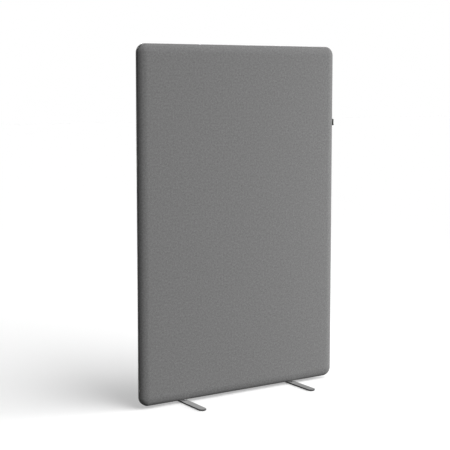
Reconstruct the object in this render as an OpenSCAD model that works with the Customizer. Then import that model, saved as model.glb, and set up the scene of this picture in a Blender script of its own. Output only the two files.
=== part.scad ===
// Acoustic divider screen: a padded panel in fabric covers, standing on two flat feet.
// A zip in the edge, at mid-thickness, closes the covers. Its slider parks on the right-hand edge.
// Origin: on the floor under the middle of the panel. X runs along the panel, -Y is the front, Z is up.

/* [Panel] */
// Width over the covers
panel_w = 1000; // [700:10:1800]
// Height of the panel, without its feet
panel_h = 1500; // [1000:10:2000]
// Thickness over the covers
panel_t = 50; // [46:1:70]
// Radius of the outer corners, seen from the front
corner_r = 40; // [38:1:100]
// Gap between the floor and the panel
panel_lift = 10; // [9:1:40]

/* [Covers] */
// Thickness of the cover fabric
cover_t = 1; // [0.6:0.1:1.4]
// How far in from the outline the face starts to round over
edge_reach = 40; // [34:1:60]
// How much tighter the round edge is than half the panel's thickness
edge_ease = 3; // [2:0.5:6]
// Width of the hem that is turned under along the zip
hem_w = 7.5; // [4:0.5:10]
// Gap between the two hems, in which the zip shows
zip_opening = 13; // [12.6:0.1:16]

/* [Padding and core] */
// Thickness of the padding on each face
pad_t = 7.8; // [5:0.1:10]
// Width of the channel that the padding leaves behind the zip
zip_channel = 14; // [13:0.5:18]

/* [Frame] */
// Distance from the cover's edge to the frame
frame_set = 14; // [12:0.5:20]
// Width of the stiles
stile_w = 40; // [36:1:70]
// Height of the top rail
top_rail_h = 40; // [36:1:80]
// Height of the bottom rail, which holds the feet
bottom_rail_h = 60; // [40:1:100]
// Height of the middle rail
middle_rail_h = 40; // [30:1:80]
// Leg of the glued corner blocks
block_leg = 60; // [30:1:100]
// Diameter of the dowels
dowel_d = 8; // [6:1:10]
// Length of the dowels
dowel_l = 60; // [40:1:64]

/* [Zip] */
// Width of the closed chain
chain_w = 8.6; // [8:0.1:9]
// Thickness of the chain
chain_t = 3; // [2.4:0.1:3.4]
// Distance from tooth to tooth on one tape
tooth_pitch = 4.2; // [4:0.1:6]
// Width of a tooth's neck
neck_w = 1.6; // [1:0.1:1.8]
// Width of a tooth's head
head_w = 2.3; // [1.9:0.1:2.4]
// How far a head reaches past mid-thickness
head_reach = 1.3; // [0.8:0.1:1.6]
// Width of the bead that joins the teeth and grips the tape
bead_w = 1.7; // [1.4:0.1:1.9]
// Thickness of the tapes
tape_t = 0.8; // [0.4:0.1:1]
// Width of each tape
tape_w = 11.5; // [9:0.5:12]

/* [Slider] */
// Distance from the panel's top to the parked slider
slider_drop = 320; // [200:5:600]
// Length of the slider along the chain
slider_l = 18; // [15:0.5:24]
// Width of the slider across the chain
slider_w = 12; // [11.6:0.1:12.4]
// Thickness of the slider's outer plate
plate_t = 1.5; // [1:0.1:2]
// Thickness of the slider's base plate
base_t = 1.2; // [0.8:0.1:2]
// Length of the wedge that parts the teeth
wedge_l = 7; // [5:0.5:9]
// Height of the puller's axis over the outer plate
ear_h = 6.7; // [5:0.1:9]
// Thickness of the ear
ear_t = 3; // [2:0.1:3.4]
// Radius of the ear's eye, outside
ear_r = 3.2; // [2.4:0.1:3.6]
// Diameter of the puller's crossbar
crossbar_d = 2.5; // [2:0.1:3]
// Length of the puller below its axis
puller_l = 26.5; // [18:0.5:40]
// Width of the puller at its ends
puller_w = 11.4; // [10.6:0.1:14]
// Width of the puller's waist
waist_w = 10; // [8:0.1:10.4]
// Thickness of the puller
puller_t = 3.6; // [2:0.1:4.4]
// Thickness of the puller's grip end
grip_t = 5.6; // [4.6:0.1:8]
// Length of the puller's grip end
grip_l = 7; // [4:0.5:10]

/* [Feet] */
// Length of each foot, across the panel
foot_l = 330; // [240:5:600]
// Width of each foot
foot_w = 34; // [24:1:60]
// Thickness of each foot
foot_t = 6; // [4:0.5:6]
// Distance between the middles of the feet
foot_spread = 566; // [300:2:600]
// Thickness of the glide pads
glide_t = 1.5; // [1:0.1:2.5]
// Diameter of the glide pads
glide_d = 20; // [12:1:22]
// Diameter of the foot screws
screw_d = 5; // [4:0.5:5.5]
// Diameter of the countersunk heads
screw_head_d = 10; // [8:0.5:11]
// How far the screws reach into the bottom rail
screw_grip = 14; // [10:1:16]
// Diameter of the spacer sleeves
sleeve_d = 8; // [7:0.5:9]
// Diameter of the threaded inserts
insert_d = 6.6; // [6.4:0.1:8]
// Length of the threaded inserts
insert_l = 16; // [14:1:20]

/* [Clearances] */
// Between soft layers
soft_gap = 0.2; // [0.1:0.05:0.4]
// Between pieces that are fitted together
fit_gap = 0.1; // [0.05:0.01:0.2]
// Round the crossbar in the ear, on the radius
pin_gap = 0.1; // [0.05:0.01:0.1]
// Between the slider and what it runs along
run_gap = 0.4; // [0.3:0.05:0.5]

/* [Hidden] */

$fn = 64;
overrun = 1;

// Heights
panel_mid_z = panel_lift + panel_h / 2;
panel_top_z = panel_lift + panel_h;
frame_bottom_z = panel_lift + frame_set;
frame_top_z = panel_top_z - frame_set;
middle_rail_z = panel_mid_z - middle_rail_h / 2;
bay_bottom_z = frame_bottom_z + bottom_rail_h;
bay_top_z = frame_top_z - top_rail_h;

// The edge's section: an arc at mid-thickness that runs into a flatter one, which meets the face.
half_t = panel_t / 2;
reach = min(edge_reach, corner_r);
edge_r = half_t - edge_ease;
ease_r = ((reach - edge_r) ^ 2 + half_t ^ 2 - edge_r ^ 2) / (2 * edge_ease);
edge_turn = atan2(ease_r - half_t, reach - edge_r);

// Frame
frame_t = panel_t - 2 * (cover_t + soft_gap + pad_t);
frame_half_w = panel_w / 2 - frame_set;
bay_half_w = frame_half_w - stile_w;
frame_corner_r = corner_r - frame_set;
dowel_spread_share = 0.25;

// Depths below the cover's surface at mid-thickness
hem_in = 2 * cover_t;
tape_out = hem_in + fit_gap;
tape_in = tape_out + tape_t;
chain_out = (tape_out + tape_in - chain_t) / 2;
chain_in = chain_out + chain_t;
base_out = chain_in + run_gap;
plate_in = chain_out - run_gap;
plate_out = plate_in - plate_t;
pivot_out = plate_out - ear_h;

// Distances from mid-thickness
bead_inner = chain_w / 2 - bead_w;
groove_wall = 0.4;
tape_inner = bead_inner + groove_wall + fit_gap;
tape_outer = tape_inner + tape_w;
groove_out = tape_out + sag(tape_out, tape_inner) - fit_gap;
groove_in = tape_in + sag(tape_in, chain_w / 2) + fit_gap;
chain_split = fit_gap / 2;

// Heights along the right-hand edge
run_bottom_z = panel_lift + corner_r;
run_top_z = panel_top_z - corner_r;
slider_top_z = panel_top_z - slider_drop;
slider_z = slider_top_z - slider_l;
pivot_rise_share = 2 / 3;
pivot_z = slider_z + pivot_rise_share * slider_l;
teeth_top_z = slider_top_z - wedge_l;
stop_l = 5;
box_l = 6;
stop_z = slider_top_z + run_gap;
box_z = stop_z + stop_l + box_l;
chain_restart_z = box_z + box_l;
stop_lip = 0.3;

// Feet
foot_top_z = glide_t + foot_t;
sleeve_l = frame_bottom_z - foot_top_z;
bolt_y = chain_w / 2 + sleeve_d / 2 + run_gap + stop_lip;
foot_end_y = foot_l / 2 - foot_w / 2;
head_l = (screw_head_d - screw_d) / 2;

// Shares of a tooth's reach and half-width, from its root to its tip
tooth_reach_shares = [-0.1, 0.4, 1];
tooth_width_shares = [0, 1, 0.7];
// Outline of the slider's plates, as shares of its width and length
slider_outline_shares = [[-0.4, 0], [0.4, 0], [0.46, 0.12], [0.5, 0.6], [0.5, 0.86], [0.42, 1],
    [0.14, 1], [0, 0.94], [-0.14, 1], [-0.42, 1], [-0.5, 0.86], [-0.5, 0.6], [-0.46, 0.12]];
// Side view of the ear's bridge, as shares of the slider's length and the axis's height
bridge_shares = [[0.16, 0], [0.4, 0.5], [0.52, 1], [0.8, 1], [0.92, 0.5], [0.96, 0]];

fabric_grey = [0.45, 0.45, 0.46];
zip_black = [0.07, 0.07, 0.08];
pine = [0.84, 0.7, 0.5];
felt = [0.72, 0.72, 0.7];
wadding = [0.93, 0.93, 0.91];
steel_grey = [0.66, 0.66, 0.67];

// How much further in an arc of the edge lies, at a distance v from mid-thickness
function sag(depth, v) = let (r = edge_r - depth) r - sqrt(r ^ 2 - v ^ 2);

// Front half of the panel's section at a depth below the cover's surface.
// X runs from the middle of the corner out to the edge, and Y from mid-thickness out to the face.
// Its corner is cut back twice: outside the flatter arc, then outside the arc at mid-thickness.
module section(depth) {
    far = 2 * edge_r;
    difference() {
        square([corner_r, half_t - depth]);
        difference() {
            translate([corner_r - reach, 0]) square([reach + overrun, half_t]);
            translate([corner_r - reach, half_t - ease_r]) circle(ease_r - depth, $fn = 360);
        }
        translate([corner_r - edge_r, 0]) difference() {
            polygon([[0, -overrun], [far, -overrun], [far, 0],
                [far * cos(edge_turn), far * sin(edge_turn)], [0, 0]]);
            circle(edge_r - depth, $fn = 180);
        }
    }
}

// The layer between two depths, from one distance from mid-thickness to another
module layer(outer, inner, from, to) {
    intersection() {
        difference() {
            section(outer);
            section(inner);
        }
        translate([0, from]) square([corner_r, to - from]);
    }
}

// Sweeps a section along one side of the panel, seen from the front: 0 right, 1 top, 2 left, 3 bottom
module along_side(k, from = 0, to = 1) {
    out = (k % 2 == 0 ? panel_w : panel_h) / 2 - corner_r;
    run = (k % 2 == 0 ? panel_h : panel_w) - 2 * corner_r;
    translate([0, 0, panel_mid_z]) rotate([0, -90 * k, 0])
        translate([out, 0, (from - 0.5) * run]) linear_extrude((to - from) * run)
        mirror([0, 1]) children();
}

// Sweeps a section round one corner, counted anticlockwise from the top right
module round_corner(k) {
    out = (k % 2 == 0 ? panel_w : panel_h) / 2 - corner_r;
    run = (k % 2 == 0 ? panel_h : panel_w) - 2 * corner_r;
    translate([0, 0, panel_mid_z]) rotate([0, -90 * k, 0])
        translate([out, 0, run / 2]) rotate([90, 0, 0]) rotate_extrude(angle = 90, $fn = 96) children();
}

module all_round() {
    for (k = [0:3]) {
        along_side(k) children();
        round_corner(k) children();
    }
}

// Puts a front piece on the rear
module to_rear() {
    mirror([0, 1, 0]) children();
}

// Holes for the spacer sleeves, from the foot up to the frame
module at_bolts() {
    for (x = [-1, 1], y = [-1, 1]) translate([x * foot_spread / 2, y * bolt_y, 0]) children();
}

module sleeve_holes() {
    at_bolts() translate([0, 0, foot_top_z - overrun]) cylinder(d = sleeve_d + 2 * soft_gap,
        h = sleeve_l + overrun);
}

// A flat slab over the middle of the panel, between two distances from mid-thickness, at the front
module middle_slab(from, to) {
    translate([corner_r - panel_w / 2, -to, panel_lift + corner_r])
        cube([panel_w - 2 * corner_r, to - from, panel_h - 2 * corner_r]);
}

// Frame

module frame_outline() {
    half_h = (frame_top_z - frame_bottom_z) / 2;
    x = frame_half_w - frame_corner_r;
    z = half_h - frame_corner_r;
    square([2 * frame_half_w, 2 * z], center = true);
    square([2 * x, 2 * half_h], center = true);
    for (i = [-1, 1], j = [-1, 1]) translate([i * x, j * z]) circle(frame_corner_r);
}

module dowel_places(x) {
    for (rail = [[frame_bottom_z, bottom_rail_h], [middle_rail_z, middle_rail_h],
            [bay_top_z, top_rail_h]], side = [-1, 1])
        translate([x, 0, rail[0] + rail[1] * (0.5 + side * dowel_spread_share)])
            rotate([0, 90, 0]) children();
}

module dowel_bores(x) {
    dowel_places(x) cylinder(d = dowel_d + 2 * fit_gap, h = dowel_l + 2 * overrun, center = true);
}

// A bar of the frame, cut from its rounded outline: from x and height z, w wide and h high
module frame_bar(x, z, w, h) {
    translate([0, frame_t / 2, panel_mid_z]) rotate([90, 0, 0]) linear_extrude(frame_t)
        intersection() {
            frame_outline();
            translate([x, z - panel_mid_z]) square([w, h]);
        }
}

module stile() {
    color(pine) difference() {
        frame_bar(bay_half_w, panel_lift, stile_w, panel_h);
        dowel_bores(bay_half_w);
    }
}

module left_stile() {
    mirror([1, 0, 0]) stile();
}

module right_stile() {
    stile();
}

module rail(z, h) {
    w = 2 * (bay_half_w - fit_gap);
    color(pine) difference() {
        frame_bar(-w / 2, z, w, h);
        dowel_bores(bay_half_w);
        dowel_bores(-bay_half_w);
    }
}

module top_rail() {
    rail(bay_top_z, top_rail_h);
}

module middle_rail() {
    rail(middle_rail_z, middle_rail_h);
}

module bottom_rail() {
    color(pine) difference() {
        rail(frame_bottom_z, bottom_rail_h);
        at_bolts() translate([0, 0, frame_bottom_z - overrun])
            cylinder(d = insert_d + 2 * fit_gap, h = insert_l + 2 * overrun);
    }
}

module frame_dowels() {
    color(pine) for (x = [-bay_half_w, bay_half_w])
        dowel_places(x) cylinder(d = dowel_d, h = dowel_l, center = true);
}

// Triangles in the four inner corners of the frame, grown on every side
module corner_triangles(grow, t) {
    leg = block_leg + 4 * grow;
    x = bay_half_w - fit_gap + grow;
    for (side = [0, 1]) mirror([side, 0, 0]) translate([0, t / 2, 0]) rotate([90, 0, 0])
        linear_extrude(t) {
            polygon([[x, bay_top_z - fit_gap + grow], [x - leg, bay_top_z - fit_gap + grow],
                [x, bay_top_z - fit_gap + grow - leg]]);
            polygon([[x, bay_bottom_z + fit_gap - grow], [x - leg, bay_bottom_z + fit_gap - grow],
                [x, bay_bottom_z + fit_gap - grow + leg]]);
        }
}

module corner_blocks() {
    color(pine) corner_triangles(0, frame_t);
}

module core(z, h) {
    w = 2 * (bay_half_w - soft_gap);
    color(felt) difference() {
        translate([-w / 2, -frame_t / 2, z + soft_gap]) cube([w, frame_t, h - 2 * soft_gap]);
        corner_triangles(soft_gap, frame_t + 2 * overrun);
    }
}

module upper_core() {
    core(middle_rail_z + middle_rail_h, bay_top_z - middle_rail_z - middle_rail_h);
}

module lower_core() {
    core(bay_bottom_z, middle_rail_z - bay_bottom_z);
}

// Padding and covers

module padding_section() {
    clear_v = tape_outer + soft_gap;
    difference() {
        section(cover_t + soft_gap);
        square([corner_r - frame_set + soft_gap, frame_t / 2 + fit_gap]);
        square([corner_r, zip_channel / 2]);
        layer(0, tape_in + soft_gap, 0, clear_v);
    }
}

module padding() {
    color(wadding) difference() {
        union() {
            all_round() padding_section();
            middle_slab(frame_t / 2 + fit_gap, half_t - cover_t - soft_gap);
        }
        sleeve_holes();
    }
}

module front_padding() {
    padding();
}

module rear_padding() {
    to_rear() padding();
}

// The fabric, doubled along the zip by the turned hem
module cover_section() {
    difference() {
        section(0);
        square([corner_r + overrun, zip_opening / 2]);
        difference() {
            section(cover_t);
            square([corner_r, zip_opening / 2 + hem_w]);
        }
        section(hem_in);
    }
}

module cover() {
    color(fabric_grey) difference() {
        union() {
            all_round() cover_section();
            middle_slab(half_t - cover_t, half_t);
        }
        sleeve_holes();
    }
}

module front_cover() {
    cover();
}

module rear_cover() {
    to_rear() cover();
}

// Zip

module tape() {
    color(zip_black) difference() {
        all_round() layer(tape_out, tape_in, tape_inner, tape_outer);
        sleeve_holes();
    }
}

module front_zip_tape() {
    tape();
}

module rear_zip_tape() {
    to_rear() tape();
}

// A block of the chain's section with the groove that grips the tape, at the front
module gripping_section(from, lip = 0) {
    difference() {
        translate([corner_r - chain_in - lip, from])
            square([chain_t + 2 * lip, chain_w / 2 + lip - from]);
        tape_groove(lip);
    }
}

module tape_groove(lip = 0) {
    translate([corner_r - groove_in, bead_inner + groove_wall])
        square([groove_in - groove_out, bead_w + lip + overrun]);
}

// One tooth's outline up one flank and down the other, with its root on the bead at height z
function tooth(z) = let (
        reaches = [-bead_inner, for (s = tooth_reach_shares) s * head_reach],
        widths = [neck_w / 2, for (s = tooth_width_shares) (neck_w + s * (head_w - neck_w)) / 2],
        last = len(reaches) - 1)
    [for (i = [0:last]) [reaches[i], z - widths[i]], for (i = [last:-1:0]) [reaches[i], z + widths[i]]];

// A bead with its teeth between two heights, and with no teeth above teeth_to
module comb(from, to, teeth_to, offset_share) {
    count = floor((teeth_to - from) / tooth_pitch);
    outline = [
        [-chain_w / 2, to], [-chain_w / 2, from], [-bead_inner, from],
        for (i = [0:count - 1]) each tooth(from + (i + offset_share) * tooth_pitch),
        [-bead_inner, to]
    ];
    difference() {
        translate([panel_w / 2 - chain_in, 0, 0]) rotate([90, 0, 90]) linear_extrude(chain_t)
            polygon(outline);
        translate([panel_w / 2 - corner_r, 0, from - overrun])
            linear_extrude(to - from + 2 * overrun) mirror([0, 1]) tape_groove();
    }
}

module zip_teeth(offset_share) {
    color(zip_black) {
        comb(run_bottom_z + 2 * fit_gap, slider_top_z, teeth_top_z, offset_share);
        comb(chain_restart_z + fit_gap, run_top_z - fit_gap, run_top_z - fit_gap, offset_share);
    }
}

module front_zip_teeth() {
    zip_teeth(0.25);
}

module rear_zip_teeth() {
    to_rear() zip_teeth(0.75);
}

// The closed chain round the corners and the other three sides, drawn plain
module zip_chain() {
    color(zip_black) for (k = [0:3]) {
        if (k > 0) along_side(k) gripping_section(chain_split);
        round_corner(k) gripping_section(chain_split);
    }
}

module front_zip_chain() {
    zip_chain();
}

module rear_zip_chain() {
    to_rear() zip_chain();
}

// A clip round the tape at the right-hand edge, from height z
module clip(z, l, from) {
    translate([panel_w / 2 - corner_r, 0, z]) linear_extrude(l) mirror([0, 1])
        gripping_section(from, stop_lip);
}

module zip_top_stops() {
    color(zip_black) {
        clip(stop_z, stop_l, bead_inner);
        to_rear() clip(stop_z, stop_l, bead_inner);
    }
}

module zip_start_box() {
    color(zip_black) {
        clip(box_z, box_l, 0);
        to_rear() clip(box_z, box_l, 0);
    }
}

// Slider

// Places an outline drawn across and along the chain, from one depth out to another
module on_edge(inner, outer) {
    translate([panel_w / 2 - inner, 0, slider_z]) rotate([90, 0, 90]) linear_extrude(inner - outer)
        children();
}

module slider_outline() {
    polygon([for (p = slider_outline_shares) [p[0] * slider_w, p[1] * slider_l]]);
}

module slider_flange() {
    inner = chain_w / 2 + run_gap;
    depth_in = tape_out + sag(tape_out, inner) - run_gap;
    on_edge(depth_in, plate_in - plate_t / 2) intersection() {
        slider_outline();
        translate([inner, 0]) square([slider_w, slider_l]);
    }
}

module wedge() {
    half = bead_inner - run_gap;
    on_edge(base_out, plate_in) polygon([[-half, slider_l], [0, slider_l - wedge_l], [half, slider_l]]);
}

// Side view of the slider: X is out from the edge, Y is up from the slider's lower end
module side_view(t) {
    translate([panel_w / 2, t / 2, slider_z]) rotate([90, 0, 0]) linear_extrude(t) children();
}

module slider_body() {
    color(zip_black) {
        difference() {
            union() {
                on_edge(plate_in, plate_out) slider_outline();
                side_view(ear_t) {
                    polygon([for (p = bridge_shares) [p[1] * ear_h - plate_out, p[0] * slider_l]]);
                    translate([-pivot_out, pivot_z - slider_z]) circle(ear_r);
                }
            }
            translate([panel_w / 2 - pivot_out, 0, pivot_z]) rotate([90, 0, 0])
                cylinder(d = crossbar_d + 2 * pin_gap, h = ear_t + 2 * overrun, center = true);
        }
        slider_flange();
        mirror([0, 1, 0]) slider_flange();
        wedge();
        on_edge(base_out + base_t, base_out) slider_outline();
    }
}

// The puller, hanging from its crossbar at the origin: seen along the edge's normal
module puller_front() {
    window_w = ear_t + 2 * run_gap;
    window_l = ear_r + 2 * run_gap;
    difference() {
        union() {
            translate([-puller_w / 2, -window_l - puller_t / 2])
                square([puller_w, window_l + puller_t]);
            translate([-waist_w / 2, -puller_l + puller_t]) square([waist_w, puller_l - puller_t]);
            translate([-puller_w / 2, -puller_l]) square([puller_w, grip_l]);
        }
        translate([-window_w / 2, -window_l]) square([window_w, window_l + puller_t]);
    }
}

// The puller's thickness, seen from the front: X is out from the edge
module puller_side() {
    grip_r = grip_t / 2;
    circle(d = puller_t);
    translate([-puller_t / 2, grip_r - puller_l]) square([puller_t, puller_l - grip_r]);
    translate([-grip_r, grip_r - puller_l]) square([grip_t, grip_l - grip_r]);
    translate([0, grip_r - puller_l]) circle(grip_r);
}

module slider_puller() {
    color(zip_black) translate([panel_w / 2 - pivot_out, 0, pivot_z]) {
        intersection() {
            translate([-grip_t / 2, 0, 0]) rotate([90, 0, 90]) linear_extrude(grip_t) puller_front();
            translate([0, puller_w / 2, 0]) rotate([90, 0, 0]) linear_extrude(puller_w) puller_side();
        }
        rotate([90, 0, 0]) cylinder(d = crossbar_d, h = waist_w, center = true);
    }
}

// Feet

module foot() {
    color(steel_grey) difference() {
        translate([foot_spread / 2, 0, glide_t]) linear_extrude(foot_t) {
            square([foot_w, 2 * foot_end_y], center = true);
            for (y = [-1, 1]) translate([0, y * foot_end_y]) circle(d = foot_w);
        }
        at_bolts() translate([0, 0, glide_t]) {
            translate([0, 0, -overrun]) cylinder(d = screw_d + 2 * fit_gap, h = foot_t + 2 * overrun);
            countersink(fit_gap);
        }
    }
}

// A screw's countersunk head, grown by a gap
module countersink(grow) {
    cylinder(d1 = screw_head_d + 2 * grow, d2 = screw_d + 2 * grow, h = head_l);
}

module left_foot() {
    mirror([1, 0, 0]) foot();
}

module right_foot() {
    foot();
}

module foot_spacers() {
    color(steel_grey) at_bolts() translate([0, 0, foot_top_z]) difference() {
        cylinder(d = sleeve_d, h = sleeve_l);
        translate([0, 0, -overrun]) cylinder(d = screw_d + 2 * fit_gap, h = sleeve_l + 2 * overrun);
    }
}

module threaded_inserts() {
    color(steel_grey) at_bolts() translate([0, 0, frame_bottom_z]) difference() {
        cylinder(d = insert_d, h = insert_l);
        translate([0, 0, -overrun]) cylinder(d = screw_d + fit_gap, h = insert_l + 2 * overrun);
    }
}

module foot_screws() {
    color(steel_grey) at_bolts() translate([0, 0, glide_t]) {
        countersink(0);
        cylinder(d = screw_d, h = foot_t + sleeve_l + screw_grip);
    }
}

module glide_pads() {
    color(zip_black) for (x = [-1, 1], y = [-1, 1])
        translate([x * foot_spread / 2, y * foot_end_y, 0]) cylinder(d = glide_d, h = glide_t);
}

left_stile();
right_stile();
top_rail();
middle_rail();
bottom_rail();
frame_dowels();
corner_blocks();
upper_core();
lower_core();
front_padding();
rear_padding();
front_cover();
rear_cover();
front_zip_tape();
rear_zip_tape();
front_zip_teeth();
rear_zip_teeth();
front_zip_chain();
rear_zip_chain();
zip_top_stops();
zip_start_box();
slider_body();
slider_puller();
left_foot();
right_foot();
foot_spacers();
threaded_inserts();
foot_screws();
glide_pads();
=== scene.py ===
"""Dresses a fabric-covered acoustic divider screen round its packed frame, in a white studio."""
import math

import bmesh
import bpy
from bpy.props import FloatProperty, FloatVectorProperty, PointerProperty
from mathutils import Matrix, Vector, noise


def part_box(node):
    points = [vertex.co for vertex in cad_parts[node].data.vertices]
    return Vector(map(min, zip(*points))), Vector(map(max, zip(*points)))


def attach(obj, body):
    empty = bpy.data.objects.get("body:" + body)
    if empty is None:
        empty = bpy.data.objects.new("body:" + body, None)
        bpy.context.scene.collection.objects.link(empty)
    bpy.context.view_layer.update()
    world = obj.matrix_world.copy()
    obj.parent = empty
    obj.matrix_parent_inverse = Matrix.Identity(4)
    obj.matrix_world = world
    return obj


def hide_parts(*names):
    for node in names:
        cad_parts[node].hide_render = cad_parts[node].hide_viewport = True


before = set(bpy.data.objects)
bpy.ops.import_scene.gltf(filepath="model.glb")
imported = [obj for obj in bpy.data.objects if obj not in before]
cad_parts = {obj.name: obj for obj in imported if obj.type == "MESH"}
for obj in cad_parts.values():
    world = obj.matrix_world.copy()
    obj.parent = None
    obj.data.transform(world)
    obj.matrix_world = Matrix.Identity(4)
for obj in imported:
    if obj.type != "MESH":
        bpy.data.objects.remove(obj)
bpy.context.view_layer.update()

bl_info = {
    "name": "Acoustic divider screen",
    "version": (1, 0, 0),
    "blender": (4, 5, 0),
    "location": "3D View > Sidebar > Divider",
    "description": "Covers, padding, zip, slider and feet of a padded divider screen, with its studio",
    "category": "Object",
}

MM = 0.001
QUARTER = math.pi / 2
# A swept shape's points within WELD become one, and so do a packed node's within HAIR. A plane that cuts
# a shape takes the points within HAIR as its own.
WELD = MM / 100
HAIR = MM / 1000
HOLE_SIDES = 32
# The UV maps of the covers' cloth and of the zip's tapes
CLOTH_UV, BAND_UV = "cloth", "band"

# The panel's sizes, from the packed front cover, which reaches from its face to the zip at mid-thickness
COVER_LOW, COVER_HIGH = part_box("front_cover")
PANEL_W = COVER_HIGH.x - COVER_LOW.x
PANEL_H = COVER_HIGH.z - COVER_LOW.z
MID_Z = (COVER_LOW.z + COVER_HIGH.z) / 2
HALF_T = -COVER_LOW.y
ZIP_HALF = -COVER_HIGH.y


def length(name, millimetres, description):
    """A size that a user may change, given here in millimetres."""
    return FloatProperty(name=name, default=millimetres * MM, description=description, unit="LENGTH",
                         subtype="DISTANCE", precision=5)


def amount(name, value, description, least=0, **kind):
    """A number that a user may change, from the least one up."""
    return FloatProperty(name=name, default=value, description=description, min=least, **kind)


def colour(name, value, description):
    """A linear colour that a user may change. A single number is a grey."""
    rgb = (value,) * 3 if isinstance(value, float) else value
    return FloatVectorProperty(name=name, default=rgb, description=description, subtype="COLOR", size=3,
                               min=0, max=1)


class CoverSettings(bpy.types.PropertyGroup):
    """Sizes and colours of the covers, their padding and the felt behind it."""
    corner_r: length("Corner radius", 40, "Radius of the outer corners, seen from the front")
    edge_reach: length("Edge reach", 40, "How far in from the outline the face starts to round over")
    edge_ease: length("Edge ease", 3, "How much tighter the round edge is than half the thickness")
    fabric_t: length("Fabric thickness", 1, "Thickness of the cover fabric")
    hem_w: length("Hem", 7.5, "Width of the hem that is turned under along the zip")
    crown: length("Crown", 0.7, "How far the padding swells the middle of each face")
    ripple: length("Ripple", 0.22, "Height of the fabric's small unevenness")
    thread_pitch: length("Thread pitch", 0.85, "Distance from thread to thread in the weave")
    stitch_pitch: length("Stitch pitch", 4.2, "Distance from stitch to stitch along the zip")
    stitch_l: length("Stitch length", 3.1, "Length of one stitch")
    stitch_w: length("Stitch width", 0.5, "Thickness of the sewing thread")
    seam_set: length("Seam distance", 9.6, "Distance of the seam from mid-thickness")
    pad_out: length("Padding depth", 1.2, "Depth of the padding below the cover's surface")
    pad_in: length("Padding back", 16.1, "Distance of the padding's back from mid-thickness")
    pad_channel: length("Padding channel", 7, "Half the width of the channel behind the zip")
    pocket_in: length("Tape pocket", 3.1, "Depth of the padding's step under the tape")
    pocket_v: length("Tape pocket edge", 14.8, "Distance of that step's edge from mid-thickness")
    frame_set: length("Frame distance", 13.8, "Distance of the padding's inner step from the outline")
    block_leg: length("Felt corner", 60.6, "How much of the felt's corner the frame's blocks take")
    fabric: colour("Fabric", 0.217, "Colour of the cover fabric")
    wadding: colour("Wadding", 0.78, "Colour of the polyester padding")
    felt: colour("Felt", (0.42, 0.42, 0.40), "Colour of the pressed felt core")


class ZipSettings(bpy.types.PropertyGroup):
    """Sizes and colours of the zip, its slider and its puller."""
    chain_half: length("Half chain", 4.3, "Half the width of the closed chain")
    chain_out: length("Chain depth", 1, "Depth of the teeth's outer faces below the cover's surface")
    chain_t: length("Chain thickness", 3, "Thickness of the teeth")
    pitch: length("Tooth pitch", 4.2, "Distance from tooth to tooth on one tape")
    body_w: length("Tooth body", 2.7, "Width of a tooth where it grips the tape")
    neck_w: length("Tooth neck", 1.6, "Width of a tooth's neck")
    head_w: length("Tooth head", 2.3, "Width of a tooth's head")
    head_reach: length("Head reach", 1.3, "How far a head reaches past mid-thickness")
    root_v: length("Tooth root", 2.7, "Where a tooth's body narrows to its neck")
    tooth_round: length("Tooth edge", 0.35, "Size of the moulded edge round a tooth's face")
    tape_out: length("Tape depth", 2.1, "Depth of the tape below the cover's surface")
    tape_t: length("Tape thickness", 0.8, "Thickness of the woven tape")
    tape_edge: length("Tape edge", 14.6, "Distance of the tape's sewn edge from mid-thickness")
    bead_r: length("Bead radius", 0.72, "Radius of the cord along the tape's inner edge")
    bead_v: length("Bead place", 3.85, "Distance of that cord from mid-thickness")
    parted_l: length("Parted length", 7, "Length of chain below the slider's top that the wedge parts")
    black: colour("Zip plastic", 0.014, "Colour of the moulded teeth")
    tape: colour("Tape", 0.018, "Colour of the woven tape")
    paint: colour("Slider paint", 0.012, "Colour of the slider and its puller")
    edge_round: length("Edge rounding", 0.25, "Rounding of the slider's edges")


class FootSettings(bpy.types.PropertyGroup):
    """Sizes and colours of the feet and what holds them."""
    foot_w: length("Foot width", 34, "Width of each foot")
    edge_round: length("Foot edge", 0.9, "Rounding of the feet's edges")
    screw_d: length("Screw", 5, "Diameter of the foot screws")
    head_d: length("Screw head", 10, "Diameter of the countersunk heads")
    hex_across: length("Hex socket", 3, "Size of the hexagon socket, across its flats")
    hex_depth: length("Hex depth", 1.9, "Depth of the hexagon socket")
    sleeve_d: length("Sleeve hole", 8.4, "Diameter of the sleeves' holes through the fabric")
    bolt_v: length("Screw place", 9, "Distance of the screws from mid-thickness")
    coat: colour("Foot coating", 0.22, "Colour of the feet's powder coating")
    steel: colour("Steel", (0.56, 0.56, 0.57), "Colour of the zinc-plated steel")
    rubber: colour("Glide rubber", 0.022, "Colour of the glide pads")
    pine: colour("Pine", (0.62, 0.42, 0.23), "Colour of the frame's pine")
    pine_dark: colour("Pine grain", (0.44, 0.26, 0.12), "Colour of the pine's late wood")


class StudioSettings(bpy.types.PropertyGroup):
    """The floor, the light and the camera."""
    floor_size: amount("Floor", 60, "Side of the floor", least=1, unit="LENGTH")
    floor_shade: amount("Floor shade", 0.75, "How strongly the floor shows the light and shadow on it",
                        max=1)
    floor_glow: amount("Floor glow", 0.21, "White that the floor shows in the deepest shadow", max=1)
    key_power: amount("Key power", 2.82, "Strength of the far soft light")
    key_angle: amount("Key angle", 1.1, "How wide the far light looks, which softens its shadow",
                      unit="ROTATION", subtype="ANGLE")
    fill_power: amount("Fill power", 86, "Power of the fill, in watts")
    fill_size: amount("Fill size", 1.5, "Side of the fill", least=0.1, unit="LENGTH")
    back_power: amount("Back power", 0.8, "Strength of the light behind")
    ambient: amount("Ambient", 0.37, "Light from all round")
    lens: amount("Lens", 92.58, "Focal length, in millimetres", least=1, subtype="DISTANCE_CAMERA")


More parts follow.
